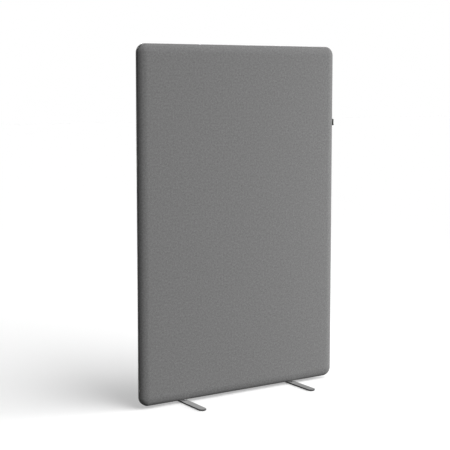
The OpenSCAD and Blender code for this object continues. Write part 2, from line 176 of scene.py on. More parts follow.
def new_piece(bm, name, body, material, replaces=(), sharp=35):
    """Makes the piece's object from bm and ties it to the frame. It is smooth, but for edges that turn by
    the sharp angle or more, in degrees."""
    for face in bm.faces:
        face.smooth = True
    limit = math.radians(sharp)
    for edge in bm.edges:
        edge.smooth = len(edge.link_faces) == 2 and edge.calc_face_angle(0) < limit
    mesh = bpy.data.meshes.new(name)
    bm.to_mesh(mesh)
    bm.free()
    mesh.materials.append(material)
    piece = bpy.data.objects.new(name, mesh)
    bpy.context.scene.collection.objects.link(piece)
    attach(piece, body)
    if replaces:
        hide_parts(*replaces)
    return piece


def verts_of(geometry):
    return [g for g in geometry if isinstance(g, bmesh.types.BMVert)]


def edges_of(geometry):
    return [g for g in geometry if isinstance(g, bmesh.types.BMEdge)]


def faces_of(geometry):
    return [g for g in geometry if isinstance(g, bmesh.types.BMFace)]


def everything(bm):
    return bm.verts[:] + bm.edges[:] + bm.faces[:]


def sharp_edges(bm, degrees):
    """The edges at which the surface turns by more than the angle."""
    return [e for e in bm.edges if e.calc_face_angle(0) > math.radians(degrees)]


def to_rear(bm):
    """Turns a front piece into a rear one."""
    bmesh.ops.scale(bm, vec=(1, -1, 1), verts=bm.verts)
    bmesh.ops.reverse_faces(bm, faces=bm.faces)


class Edge:
    """The round edge: a tight arc at mid-thickness, which runs into a flatter one up to the face."""

    def __init__(self, cover):
        reach, ease = cover.edge_reach, cover.edge_ease
        self.corner_r = cover.corner_r
        self.tight_r = HALF_T - ease
        self.easy_r = ((reach - self.tight_r) ** 2 + HALF_T ** 2 - self.tight_r ** 2) / (2 * ease)
        self.tight_u = cover.corner_r - self.tight_r
        self.easy_u = cover.corner_r - reach
        self.easy_v = HALF_T - self.easy_r
        self.turn = math.atan2(self.easy_r - HALF_T, reach - self.tight_r)
        self.out_x = PANEL_W / 2 - cover.corner_r
        self.out_z = PANEL_H / 2 - cover.corner_r

    def angle_at(self, v, depth):
        """Angle on the tight arc, at a depth below the surface, where it is v from mid-thickness."""
        return math.asin(v / (self.tight_r - depth))

    def point(self, v, depth):
        """A point of the tight arc, v from mid-thickness, at a depth."""
        return self.at(self.angle_at(v, depth), depth)

    def at(self, angle, depth):
        """A point of the tight arc at an angle and a depth."""
        r = self.tight_r - depth
        return self.tight_u + r * math.cos(angle), r * math.sin(angle)

    def from_corner(self, co):
        """The place on the rectangle of the corners' middles that is nearest to a point, how far out from
        it the point lies, and in which direction."""
        x, z = co.x, co.z - MID_Z
        inner = Vector((max(-self.out_x, min(self.out_x, x)), max(-self.out_z, min(self.out_z, z))))
        away = Vector((x, z)) - inner
        return inner, away.length, away.normalized() if away.length else away

    def normal(self, co):
        """Outward direction of the round edge or the face, near a point at the front."""
        inner, u, away = self.from_corner(co)
        v = -co.y
        if u <= self.easy_u:
            return Vector((0, -1, 0))
        tight = math.atan2(v, u - self.tight_u) < self.turn
        across = Vector((u - self.tight_u, v) if tight else (u - self.easy_u, v - self.easy_v))
        across.normalize()
        return Vector((away.x * across.x, -across.y, away.y * across.x))


class Section:
    """Draws a section as a wire at the lower end of the right-hand edge. u runs out from the corner's
    middle, v from mid-thickness to the front, and each vertex keeps its distance along the wire."""

    def __init__(self, bm, edge, u, v):
        self.bm, self.edge = bm, edge
        self.along = bm.verts.layers.float.new("along")
        self.tip = bm.verts.new(self.place(u, v))

    def place(self, u, v):
        return Vector((self.edge.out_x + u, -v, MID_Z - self.edge.out_z))

    def measure(self, verts):
        for vert in verts:
            vert[self.along] = self.tip[self.along] + (vert.co - self.tip.co).length
            self.tip = vert

    def line(self, u, v, steps=1):
        start, end = self.tip.co.copy(), self.place(u, v)
        for i in range(steps):
            vert = verts_of(bmesh.ops.extrude_vert_indiv(self.bm, verts=[self.tip])["verts"])[0]
            vert.co = start.lerp(end, (i + 1) / steps)
            self.measure([vert])

    def turn(self, u, v, angle, steps):
        """Turns the tip round the point u, v. A positive angle runs from the edge towards the face."""
        count = len(self.bm.verts)
        bmesh.ops.spin(self.bm, geom=[self.tip], cent=self.place(u, v), axis=(0, 0, 1), angle=-angle,
                       steps=steps, use_duplicate=False)
        self.bm.verts.ensure_lookup_table()
        self.measure(self.bm.verts[count:])

    def tight(self, start, end, steps):
        """Runs along the tight arc, from one angle to another."""
        self.turn(self.edge.tight_u, 0, end - start, steps)

    def out_to_face(self, start, tight_steps, easy_steps):
        """Runs from an angle on the tight arc out to the face."""
        self.tight(start, self.edge.turn, tight_steps)
        self.turn(self.edge.easy_u, self.edge.easy_v, QUARTER - self.edge.turn, easy_steps)

    def in_from_face(self, end, tight_steps, easy_steps):
        """Runs from the face in to an angle on the tight arc."""
        self.turn(self.edge.easy_u, self.edge.easy_v, self.edge.turn - QUARTER, easy_steps)
        self.tight(self.edge.turn, end, tight_steps)


def sweep_round(bm, edge, corner_steps):
    """Sweeps the wire in bm once round the panel's outline, and joins its ends."""
    wire = bm.edges[:]
    runs = (Vector((0, 0, 2 * edge.out_z)), Vector((-2 * edge.out_x, 0, 0)),
            Vector((0, 0, -2 * edge.out_z)), Vector((2 * edge.out_x, 0, 0)))
    middle = Vector((edge.out_x, 0, MID_Z - edge.out_z))
    for run in runs:
        end = bmesh.ops.extrude_edge_only(bm, edges=wire)["geom"]
        bmesh.ops.translate(bm, vec=run, verts=verts_of(end))
        middle += run
        last = verts_of(end) + edges_of(end)
        turned = bmesh.ops.spin(bm, geom=last, cent=middle, axis=(0, 1, 0), angle=-QUARTER,
                                steps=corner_steps, use_duplicate=False)["geom_last"]
        wire = edges_of(turned)
    bmesh.ops.remove_doubles(bm, verts=bm.verts, dist=WELD)


def close_faces(bm):
    """Fills the openings that a swept open wire leaves over the panel's face."""
    rims = [e for e in bm.edges if len(e.link_faces) == 1]
    bmesh.ops.holes_fill(bm, edges=rims, sides=0)
    bmesh.ops.recalc_face_normals(bm, faces=bm.faces)


def cut_grid(bm, edge, cell):
    """Cuts everything on the flats and straight edges into cells of about the given size."""
    for axis, half, mid in ((0, edge.out_x, 0), (2, edge.out_z, MID_Z)):
        count = round(2 * half / cell)
        normal = Vector([float(i == axis) for i in range(3)])
        for i in range(count + 1):
            place = normal * (mid - half + 2 * half * i / count)
            bmesh.ops.bisect_plane(bm, geom=everything(bm), dist=HAIR, plane_co=place, plane_no=normal)


def lay_cloth_uv(bm, edge):
    """Lays the cloth flat again, in metres, so that a weave follows it round the edge."""
    along = bm.verts.layers.float["along"]
    uv = bm.loops.layers.uv.new(CLOTH_UV)
    for face in bm.faces:
        for loop in face.loops:
            inner, u, away = edge.from_corner(loop.vert.co)
            spread = u if u <= edge.easy_u else edge.easy_u + loop.vert[along]
            loop[uv].uv = inner + away * spread


def lay_band_uv(bm, edge):
    """Unrolls a band: along the edge, from the lower end of its right-hand side, and across it."""
    along = bm.verts.layers.float["along"]
    uv = bm.loops.layers.uv.new(BAND_UV)
    quarter = QUARTER * edge.corner_r
    whole = 4 * (edge.out_x + edge.out_z + quarter)

    def distance(co):
        inner, _, away = edge.from_corner(co)
        turned = math.atan2(away.y, away.x) % (2 * math.pi)
        side = int((turned + MM) / QUARTER) % 4
        before = (side + 1) // 2 * 2 * edge.out_z + side // 2 * 2 * edge.out_x
        run = (inner.y + edge.out_z, edge.out_x - inner.x, edge.out_z - inner.y, inner.x + edge.out_x)[side]
        return before + run + quarter * turned / QUARTER

    for face in bm.faces:
        places = [distance(loop.vert.co) for loop in face.loops]
        wraps = max(places) - min(places) > whole / 2
        for loop, place in zip(face.loops, places):
            place += whole if wraps and place < whole / 2 else 0
            loop[uv].uv = (place, loop.vert[along])


def cut_holes(piece, cutter_bm, sharp=35):
    """Cuts the closed shapes of cutter_bm out of the piece, which stays smooth but for edges that turn by
    more than the sharp angle, in degrees."""
    mesh = bpy.data.meshes.new("cutter")
    cutter_bm.to_mesh(mesh)
    cutter_bm.free()
    cutter = bpy.data.objects.new("cutter", mesh)
    bpy.context.scene.collection.objects.link(cutter)
    boolean = piece.modifiers.new("holes", "BOOLEAN")
    boolean.operation, boolean.object, boolean.solver = "DIFFERENCE", cutter, "EXACT"
    bpy.context.view_layer.update()
    cut = bpy.data.meshes.new_from_object(piece.evaluated_get(bpy.context.evaluated_depsgraph_get()))
    piece.modifiers.clear()
    old, piece.data = piece.data, cut
    cut.name = piece.name
    cut.set_sharp_from_angle(angle=math.radians(sharp))
    bpy.data.meshes.remove(old)
    bpy.data.objects.remove(cutter)
    bpy.data.meshes.remove(mesh)


def bolt_places(feet):
    """Where the feet's screws stand, seen from above."""
    low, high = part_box("right_foot")
    x = (low.x + high.x) / 2
    return [(side * x, y) for side in (-1, 1) for y in (-feet.bolt_v, feet.bolt_v)]


def sleeve_cutter(feet):
    """Four rods where the sleeves pass through the fabric."""
    bm = bmesh.new()
    low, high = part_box("foot_spacers")
    tall = high.z - low.z
    for x, y in bolt_places(feet):
        made = bmesh.ops.create_cone(bm, cap_ends=True, segments=HOLE_SIDES, radius1=feet.sleeve_d / 2,
                                     radius2=feet.sleeve_d / 2, depth=tall + HALF_T)
        bmesh.ops.translate(bm, vec=(x, y, (low.z + high.z - HALF_T) / 2), verts=made["verts"])
    return bm


class Nodes:
    """A short way to write the nodes of a material or of the sky."""

    def __init__(self, owner):
        self.owner = owner
        owner.use_nodes = True
        self.tree = owner.node_tree

    def add(self, kind, inputs=None, **settings):
        node = self.tree.nodes.new(kind)
        for key, value in settings.items():
            setattr(node, key, value)
        for key, value in (inputs or {}).items():
            self.put(node.inputs[key], value)
        return node

    def put(self, socket, value):
        if isinstance(value, bpy.types.NodeSocket):
            self.tree.links.new(value, socket)
        else:
            socket.default_value = value

    def maths(self, operation, a, b=0.0):
        return self.add("ShaderNodeMath", {0: a, 1: b}, operation=operation).outputs[0]

    def noise(self, vector, scale, detail=2.0, roughness=0.5):
        inputs = {"Vector": vector, "Scale": scale, "Detail": detail, "Roughness": roughness}
        return self.add("ShaderNodeTexNoise", inputs).outputs["Fac"]

    def scaled(self, vector, scale):
        return self.add("ShaderNodeMapping", {"Vector": vector, "Scale": scale}).outputs["Vector"]

    def ramp(self, value, low, high, to_low, to_high):
        inputs = {"Value": value, "From Min": low, "From Max": high, "To Min": to_low, "To Max": to_high}
        return self.add("ShaderNodeMapRange", inputs).outputs["Result"]

    def spread(self, noise_value, to_low, to_high):
        """Spreads a noise texture, most of which lies between these shares, over a range."""
        low_share, high_share = 0.3, 0.7
        return self.ramp(noise_value, low_share, high_share, to_low, to_high)

    def mix(self, share, a, b):
        node = self.add("ShaderNodeMix", data_type="RGBA")
        for socket, value in zip((node.inputs[0], node.inputs[6], node.inputs[7]), (share, a, b)):
            self.put(socket, value)
        return node.outputs[2]

    def tinted(self, rgb, factor):
        """The colour, made lighter or darker by a factor."""
        made = self.add("ShaderNodeVectorMath", {0: tuple(rgb), "Scale": factor}, operation="SCALE")
        return made.outputs[0]

    def object_place(self):
        return self.add("ShaderNodeTexCoord").outputs["Object"]

    def bump(self, height, strength, distance, under=None):
        inputs = {"Height": height, "Strength": strength, "Distance": distance}
        if under is not None:
            inputs["Normal"] = under
        return self.add("ShaderNodeBump", inputs).outputs["Normal"]

    def looked_at(self):
        """One where the camera, a mirror or a pane sees the surface, and nothing for all other light."""
        seen = self.add("ShaderNodeLightPath").outputs
        mirrored = self.maths("MAXIMUM", seen["Is Glossy Ray"], seen["Is Transmission Ray"])
        return self.maths("MAXIMUM", seen["Is Camera Ray"], mirrored)

    def finish(self, **sockets):
        """Sets the shader's sockets, and returns the finished material."""
        shader = self.tree.nodes["Principled BSDF"]
        for key, value in sockets.items():
            self.put(shader.inputs[key.replace("_", " ")], value)
        return self.owner


def rgba(rgb):
    return (*rgb, 1.0)


def new_material(name):
    return Nodes(bpy.data.materials.new(name))


def woven_grey(cover):
    """Melange wool cloth in a plain weave, on the laid-out cloth's own map."""
    n = new_material("cover_cloth")
    place = n.add("ShaderNodeUVMap", uv_map=CLOTH_UV).outputs["UV"]
    threads = n.add("ShaderNodeSeparateXYZ", {0: n.scaled(place, (1 / cover.thread_pitch,) * 3)})
    u, v = threads.outputs[0], threads.outputs[1]
    warp_seed, weft_seed, along_yarn = 7.31, 5.17, 0.3

    def yarn(across, down, sign):
        """Height of the yarns that run one way, and the yarn's number."""
        number = n.maths("FLOOR", across)
        crown = n.maths("SINE", n.maths("MULTIPLY", n.maths("FRACT", across), math.pi))
        wave = n.maths("COSINE", n.maths("MULTIPLY", n.maths("ADD", down, number), math.pi))
        over = n.maths("ADD", n.maths("MULTIPLY", wave, sign * 0.5), 0.5)
        return n.maths("MULTIPLY", crown, over), number

    warp, warp_number = yarn(u, v, 1)
    weft, weft_number = yarn(v, u, -1)
    height = n.maths("MAXIMUM", warp, weft)
    on_top = n.maths("GREATER_THAN", warp, weft)
    warp_line = n.add("ShaderNodeCombineXYZ", {0: n.maths("MULTIPLY", warp_number, warp_seed),
                                               1: n.maths("MULTIPLY", v, along_yarn)})
    weft_line = n.add("ShaderNodeCombineXYZ", {0: n.maths("MULTIPLY", u, along_yarn),
                                               1: n.maths("MULTIPLY", weft_number, weft_seed)})
    warp_part = n.maths("MULTIPLY", n.noise(warp_line.outputs[0], 1.0), on_top)
    weft_part = n.maths("MULTIPLY", n.noise(weft_line.outputs[0], 1.0), n.maths("SUBTRACT", 1.0, on_top))
    fleck = n.spread(n.maths("ADD", warp_part, weft_part), 0.80, 1.14)
    cloud = n.spread(n.noise(place, 130.0, detail=3.0, roughness=0.6), -0.16, 0.16)
    # Painted shade and highlight: the gaps between the yarns are darker and the yarns' crowns lighter, with
    # the weave's height.
    shade = n.maths("MULTIPLY", n.maths("ADD", fleck, cloud), n.ramp(height, 0.0, 0.8, 0.78, 1.08))
    fuzz = n.noise(place, 2600.0)
    weave = n.bump(height, strength=0.5, distance=0.25 * MM)
    relief = n.bump(fuzz, strength=0.25, distance=0.1 * MM, under=weave)
    return n.finish(Base_Color=n.tinted(cover.fabric, shade), Normal=relief, Roughness=0.92,
                    Sheen_Weight=0.16, Sheen_Roughness=0.45, Specular_IOR_Level=0.0)


def thread(cover):
    """Twisted sewing thread, a shade darker than the cloth."""
    n = new_material("sewing_thread")
    twist = n.add("ShaderNodeTexWave", {"Vector": n.object_place(), "Scale": 700.0, "Distortion": 1.5},
                  bands_direction="DIAGONAL").outputs["Fac"]
    # Painted shade: the thread darkens along its twist where the bump lies low.
    shade = n.ramp(twist, 0.0, 1.0, 0.6, 0.95)
    relief = n.bump(twist, strength=0.4, distance=0.1 * MM)
    return n.finish(Base_Color=n.tinted(cover.fabric, shade), Normal=relief, Roughness=0.7,
                    Sheen_Weight=0.1)


def fibres(name, rgb, scale, contrast, sheen):
    """Tangled fibres, for wadding and pressed felt."""
    n = new_material(name)
    place = n.object_place()
    waves = n.add("ShaderNodeTexNoise", {"Vector": place, "Scale": scale / 3}).outputs["Color"]
    bend = n.scaled(waves, (2 / scale,) * 3)
    bent = n.add("ShaderNodeVectorMath", {0: place, 1: bend}, operation="ADD").outputs[0]
    strands = n.noise(n.scaled(bent, (1, 4, 1)), scale, detail=5.0, roughness=0.7)
    shade = n.spread(strands, 1 - contrast, 1 + contrast / 2)
    relief = n.bump(strands, strength=0.6, distance=0.8 * MM)
    return n.finish(Base_Color=n.tinted(rgb, shade), Normal=relief, Roughness=0.95, Sheen_Weight=sheen)


def woven_tape(zipper):
    """Herringbone polyester tape."""
    n = new_material("zip_tape")
    place = n.add("ShaderNodeUVMap", uv_map=BAND_UV).outputs["UV"]
    yarn_pitch, chevron_yarns = 0.6 * MM, 2.5
    parts = n.add("ShaderNodeSeparateXYZ", {0: n.scaled(place, (1 / yarn_pitch,) * 3)})
    chevron = n.maths("PINGPONG", parts.outputs[1], chevron_yarns)
    twill = n.maths("SINE", n.maths("MULTIPLY", n.maths("ADD", parts.outputs[0], chevron), 2 * math.pi))
    # Painted shade and highlight: the twill's valleys are darker and its ridges lighter.
    shade = n.ramp(twill, -1.0, 1.0, 0.6, 1.3)
    relief = n.bump(twill, strength=0.5, distance=0.12 * MM)
    return n.finish(Base_Color=n.tinted(zipper.tape, shade), Normal=relief, Roughness=0.8,
                    Sheen_Weight=0.15)


def moulded(name, rgb, roughness, grain, gloss=0.5):
    """Moulded plastic or rubber with a fine grain."""
    n = new_material(name)
    place = n.object_place()
    fine = n.noise(place, grain, detail=3.0, roughness=0.6)
    worn = n.noise(place, 90.0)
    return n.finish(Base_Color=n.tinted(rgb, n.spread(worn, 0.85, 1.2)),
                    Roughness=n.spread(fine, roughness - 0.06, roughness + 0.08),
                    Normal=n.bump(fine, strength=0.12, distance=0.1 * MM), Specular_IOR_Level=gloss)


def coated(name, rgb, roughness, gloss=0.5, coat=0.0, sides=1.0):
    """Powder coating or paint over metal, with its fine orange peel. Its upright sides may be painted
    darker, as painted shade.
    """
    n = new_material(name)
    place = n.object_place()
    peel = n.noise(place, 1100.0)
    cloud = n.noise(place, 22.0, detail=3.0, roughness=0.6)
    normal = n.add("ShaderNodeTexCoord").outputs["Normal"]
    level = n.maths("ABSOLUTE", n.add("ShaderNodeSeparateXYZ", {0: normal}).outputs[2])
    # Painted shade: faces that stand upright take the sides' share of the colour, and flat ones keep it
    # whole.
    shade = n.maths("MULTIPLY", n.spread(cloud, 0.95, 1.05), n.ramp(level, 0.25, 0.6, sides, 1.0))
    relief = n.bump(peel, strength=0.18, distance=0.1 * MM)
    return n.finish(Base_Color=n.tinted(rgb, shade), Normal=relief,
                    Roughness=n.spread(peel, roughness - 0.05, roughness + 0.05),
                    Specular_IOR_Level=gloss, Coat_Weight=coat)


def plated(name, rgb, axis):
    """Zinc-plated steel, with fine turning marks across the given axis."""
    n = new_material(name)
    place = n.object_place()
    squeeze = [1.0, 1.0, 1.0]
    squeeze[axis] = 14.0
    marks = n.noise(n.scaled(place, squeeze), 260.0, detail=4.0, roughness=0.6)
    relief = n.bump(marks, strength=0.1, distance=0.05 * MM)
    return n.finish(Base_Color=n.tinted(rgb, n.spread(marks, 0.88, 1.06)), Metallic=1.0,
                    Roughness=n.spread(marks, 0.28, 0.42), Normal=relief)


def pine(feet, name, axis):
    """Pine with its grain along the given axis."""
    n = new_material(name)
    light, dark = rgba(feet.pine), rgba(feet.pine_dark)
    across, along, pore_across = 9.0, 0.55, 8.0
    place = n.scaled(n.object_place(), [along if i == axis else across for i in range(3)])
    rings = n.add("ShaderNodeTexWave", {"Vector": place, "Scale": 1.6, "Distortion": 5.0, "Detail": 3.0,
                                        "Detail Scale": 0.8}, wave_type="RINGS").outputs["Fac"]
    slim = n.scaled(place, [1.0 if i == axis else pore_across for i in range(3)])
    pores = n.noise(slim, 5.0, detail=3.0, roughness=0.6)
    grain = n.mix(n.ramp(rings, 0.45, 1.0, 0.0, 0.9), light, dark)
    wood = n.mix(n.ramp(pores, 0.5, 0.75, 0.0, 0.25), grain, dark)
    relief = n.bump(pores, strength=0.2, distance=0.2 * MM)
    return n.finish(Base_Color=wood, Roughness=0.62, Normal=relief)


def settle_fabric(bm, edge, cover):
    """Crowns the face over its padding, and gives the fabric its small unevenness, less near the zip."""
    broad_waves, fine_waves, fine_start = Vector((6, 6, 9)), Vector((23, 23, 31)), Vector((0, 0, 5))
    broad_share, fine_share = 0.7, 0.3
    moves = []
    for vert in bm.verts:
        x, z = vert.co.x / (PANEL_W / 2), (vert.co.z - MID_Z) / (PANEL_H / 2)
        crown = cover.crown * max(0, 1 - x ** 4) * max(0, 1 - z ** 4)
        broad = noise.noise(vert.co.xzy * broad_waves)
        fine = noise.noise(vert.co.xzy * fine_waves + fine_start)
        ripple = cover.ripple * (broad_share * broad + fine_share * fine)
        free = min(1, max(0, (-vert.co.y - ZIP_HALF) / (HALF_T - ZIP_HALF)))
        moves.append(edge.normal(vert.co) * (crown * free ** 3 + ripple * free))
    for vert, move in zip(bm.verts, moves):
        vert.co += move


def about(middle, turn):
    """A turn round the Y axis through a point."""
    return Matrix.Translation(middle) @ Matrix.Rotation(turn, 4, "Y") @ Matrix.Translation(-middle)


def repeat(bm, template, first, step, count):
    """Adds copies of the template: one moved by the matrix first, and each next one by one step more."""
    mesh = template.copy()
    mesh.transform(first)
    for _ in range(count):
        bm.from_mesh(mesh)
        mesh.transform(step)
    bpy.data.meshes.remove(mesh)


def repeat_up(bm, template, place, run, pitch, share, turned=Matrix()):
    """Repeats the template upwards from a place, along a run of which whole pitches are filled. The first
    copy stands a share of a pitch above the place."""
    first = Matrix.Translation(place + Vector((0, 0, pitch * share)))
    step = Matrix.Translation((0, 0, pitch))
    spare = 0.001  # for a run that rounding leaves a little short of a whole pitch
    count = math.floor(run / pitch + spare)
    repeat(bm, template, turned @ first, turned @ step @ turned.inverted(), count)


def repeat_round(bm, edge, template, pitch, share, sides=(0, 1, 2, 3)):
    """Repeats the template, drawn beside a corner's middle at the origin, round the corners and along the
    sides given: 0 right, 1 top, 2 left and 3 bottom."""
    for k in range(4):
        out, half_run = (edge.out_x, edge.out_z) if k % 2 == 0 else (edge.out_z, edge.out_x)
        turned = Matrix.Translation((0, 0, MID_Z)) @ Matrix.Rotation(-k * QUARTER, 4, "Y")
        if k in sides:
            even = 2 * half_run / round(2 * half_run / pitch)
            repeat_up(bm, template, Vector((out, 0, -half_run)), 2 * half_run, even, share, turned)
        count = round(QUARTER * edge.corner_r / pitch)
        middle = Vector((out, 0, half_run))
        first = about(middle, -QUARTER / count * share) @ Matrix.Translation(middle)
        step = about(middle, -QUARTER / count)
        repeat(bm, template, turned @ first, turned @ step @ turned.inverted(), count)


def as_template(bm):
    """Closes a small shape's making, so that it can be repeated."""
    bmesh.ops.recalc_face_normals(bm, faces=bm.faces)
    mesh = bpy.data.meshes.new("template")
    bm.to_mesh(mesh)
    bm.free()
    return mesh


def extruded(bm, outline, vec):
    """Extrudes a flat outline, given by its points, into a closed shape. Returns its far end."""
    start = bm.faces.new([bm.verts.new(p) for p in outline])
    end = faces_of(bmesh.ops.extrude_face_region(bm, geom=[start], use_keep_orig=True)["geom"])[0]
    bmesh.ops.translate(bm, vec=vec, verts=end.verts)
    return end


def ease(bm, edges, width, segments=1):
    """Rounds edges, or cuts them off with one segment."""
    bmesh.ops.bevel(bm, geom=edges, offset=width, offset_type="OFFSET", segments=segments, profile=0.5,
                    affect="EDGES", material=-1, clamp_overlap=True)


class DIVIDER_OT_covers(bpy.types.Operator):
    """Makes the front and rear fabric covers, with their hems turned under along the zip"""
    bl_idname = "divider.covers"
    bl_label = "Fabric covers"
    bl_options = {"REGISTER", "UNDO"}
    tight_steps, easy_steps, corner_steps = 14, 8, 20
    fold_steps, hem_steps, lining_steps = 6, 3, 10
    cell = 40 * MM

    def execute(self, context):
        cover, feet = context.scene.divider_cover, context.scene.divider_feet
        cloth, sewing = woven_grey(cover), thread(cover)
        edge = Edge(cover)
        for side in ("front", "rear"):
            piece, cut_reach = self.one_cover(cover, edge, side, cloth)
            cut_holes(piece, sleeve_cutter(feet))
            seam = self.seam(cover, edge, side, sewing)
        return {"FINISHED"}

    def one_cover(self, cover, edge, side, cloth):
        """One cover, and how far its cloth runs on past the start of the round edge."""
        bm = bmesh.new()
        t = cover.fabric_t
        fold = edge.angle_at(ZIP_HALF + t, t)
        hem = edge.angle_at(ZIP_HALF + cover.hem_w, t)
        section = Section(bm, edge, edge.easy_u, HALF_T)
        section.in_from_face(fold, self.tight_steps, self.easy_steps)
        section.turn(*edge.point(ZIP_HALF + t, t), -math.pi, self.fold_steps)
        section.tight(fold, hem, self.hem_steps)
        cut_reach = section.tip[section.along]
        section.line(*edge.at(hem, t))
        section.out_to_face(hem, self.lining_steps, self.easy_steps)
        sweep_round(bm, edge, self.corner_steps)
        close_faces(bm)
        cut_grid(bm, edge, self.cell)
        settle_fabric(bm, edge, cover)
        lay_cloth_uv(bm, edge)
        if side == "rear":
            to_rear(bm)
        piece = new_piece(bm, f"{side}_fabric_cover", "screen", cloth, [f"{side}_cover"])
        return piece, cut_reach

    def seam(self, cover, edge, side, sewing):
        """The row of stitches that holds the hem and the tape together."""
        one = bmesh.new()
        bmesh.ops.create_uvsphere(one, u_segments=6, v_segments=5, radius=0.5)
        bmesh.ops.scale(one, vec=(cover.stitch_w, cover.stitch_w, cover.stitch_l), verts=one.verts)
        u, v = edge.point(cover.seam_set, 0)
        bmesh.ops.translate(one, vec=(u, -v, 0), verts=one.verts)
        template = as_template(one)
        bm = bmesh.new()
        repeat_round(bm, edge, template, cover.stitch_pitch, share=0.5)
        bpy.data.meshes.remove(template)
        if side == "rear":
            to_rear(bm)
        return new_piece(bm, f"{side}_seam", "screen", sewing, sharp=80)


class DIVIDER_OT_padding(bpy.types.Operator):
    """Makes the two paddings, which round the edge and leave a channel behind the zip"""
    bl_idname = "divider.padding"
    bl_label = "Padding"
    bl_options = {"REGISTER", "UNDO"}
    tight_steps, easy_steps, corner_steps, pocket_steps = 10, 6, 16, 5
    cell = 100 * MM

    def execute(self, context):
        cover, feet = context.scene.divider_cover, context.scene.divider_feet
        wadding = fibres("polyester_wadding", cover.wadding, scale=180.0, contrast=0.12, sheen=0.3)
        edge = Edge(cover)
        for side in ("front", "rear"):
            bm = bmesh.new()
            depth, pocket = cover.pad_out, cover.pocket_in
            step_u = cover.corner_r - cover.frame_set
            section = Section(bm, edge, edge.easy_u, HALF_T - depth)
            pocket_edge = edge.angle_at(cover.pocket_v, depth)
            section.in_from_face(pocket_edge, self.tight_steps, self.easy_steps)
            section.line(*edge.at(pocket_edge, pocket))
            section.tight(pocket_edge, edge.angle_at(cover.pad_channel, pocket), self.pocket_steps)
            section.line(step_u, cover.pad_channel)
            section.line(step_u, cover.pad_in)
            section.line(edge.easy_u, cover.pad_in)
            sweep_round(bm, edge, self.corner_steps)
            close_faces(bm)
            cut_grid(bm, edge, self.cell)
            if side == "rear":
                to_rear(bm)
            piece = new_piece(bm, f"{side}_wadding", "screen", wadding, [f"{side}_padding"])
            cut_holes(piece, sleeve_cutter(feet))
        return {"FINISHED"}


class DIVIDER_OT_felt(bpy.types.Operator):
    """Makes the two felt boards that fill the frame's bays"""
    bl_idname = "divider.felt"
    bl_label = "Felt core"
    bl_options = {"REGISTER", "UNDO"}
    edge_round, sharp = 2.5 * MM, 30

    def execute(self, context):
        cover = context.scene.divider_cover
        felt = fibres("pressed_felt", cover.felt, scale=320.0, contrast=0.2, sheen=0.15)
        for name, up in (("upper_core", 1), ("lower_core", -1)):
            low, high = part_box(name)
            bm = bmesh.new()
            cube = bmesh.ops.create_cube(bm, size=1)["verts"]
            bmesh.ops.scale(bm, vec=high - low, verts=cube)
            bmesh.ops.translate(bm, vec=(low + high) / 2, verts=cube)
            for side in (-1, 1):
                corner_x, corner_z = (high.x if side > 0 else low.x), (high.z if up > 0 else low.z)
                cut = bmesh.ops.bisect_plane(bm, geom=everything(bm), dist=HAIR, clear_outer=True,
                                             plane_co=(corner_x - side * cover.block_leg, 0, corner_z),
                                             plane_no=(side, 0, up))["geom_cut"]
                bmesh.ops.edgenet_fill(bm, edges=edges_of(cut))
            ease(bm, sharp_edges(bm, self.sharp), self.edge_round, segments=2)
            bmesh.ops.recalc_face_normals(bm, faces=bm.faces)
            piece = new_piece(bm, f"{name}_felt", "screen", felt, [name])
        return {"FINISHED"}


class DIVIDER_OT_tapes(bpy.types.Operator):
    """Makes the two woven zip tapes, with the cord along their inner edge"""
    bl_idname = "divider.tapes"
    bl_label = "Zip tapes"
    bl_options = {"REGISTER", "UNDO"}
    corner_steps, bead_steps, tape_steps = 20, 10, 8

    def execute(self, context):
        scene = context.scene
        cover, zipper, feet = scene.divider_cover, scene.divider_zip, scene.divider_feet
        woven = woven_tape(zipper)
        edge = Edge(cover)
        for side in ("front", "rear"):
            bm = bmesh.new()
            outer, inner = zipper.tape_out, zipper.tape_out + zipper.tape_t
            middle = (outer + inner) / 2
            # Angles on the tight arc of the cord's middle, of where the tape leaves the cord and of its sewn
            # edge, and half the angle of the cord that the tape's thickness takes up
            bead = edge.angle_at(zipper.bead_v, middle)
            bead_u, bead_v = edge.at(bead, middle)
            grip = math.asin(zipper.tape_t / 2 / zipper.bead_r)
            neck = bead + zipper.bead_r * math.cos(grip) / (edge.tight_r - middle)
            sewn = edge.angle_at(zipper.tape_edge, middle)
            section = Section(bm, edge, *edge.at(sewn, outer))
            section.tight(sewn, neck, self.tape_steps)
            start = bead + QUARTER - grip
            section.line(bead_u + zipper.bead_r * math.cos(start),
                         bead_v + zipper.bead_r * math.sin(start))
            section.turn(bead_u, bead_v, 2 * grip - 2 * math.pi, self.bead_steps)
            section.line(*edge.at(neck, inner))
            section.tight(neck, sewn, self.tape_steps)
            section.line(*edge.at(sewn, outer))
            sweep_round(bm, edge, self.corner_steps)
            bmesh.ops.recalc_face_normals(bm, faces=bm.faces)
            lay_band_uv(bm, edge)
            if side == "rear":
                to_rear(bm)
            piece = new_piece(bm, f"{side}_tape", "screen", woven, [f"{side}_zip_tape"])
            cut_holes(piece, sleeve_cutter(feet))
        return {"FINISHED"}


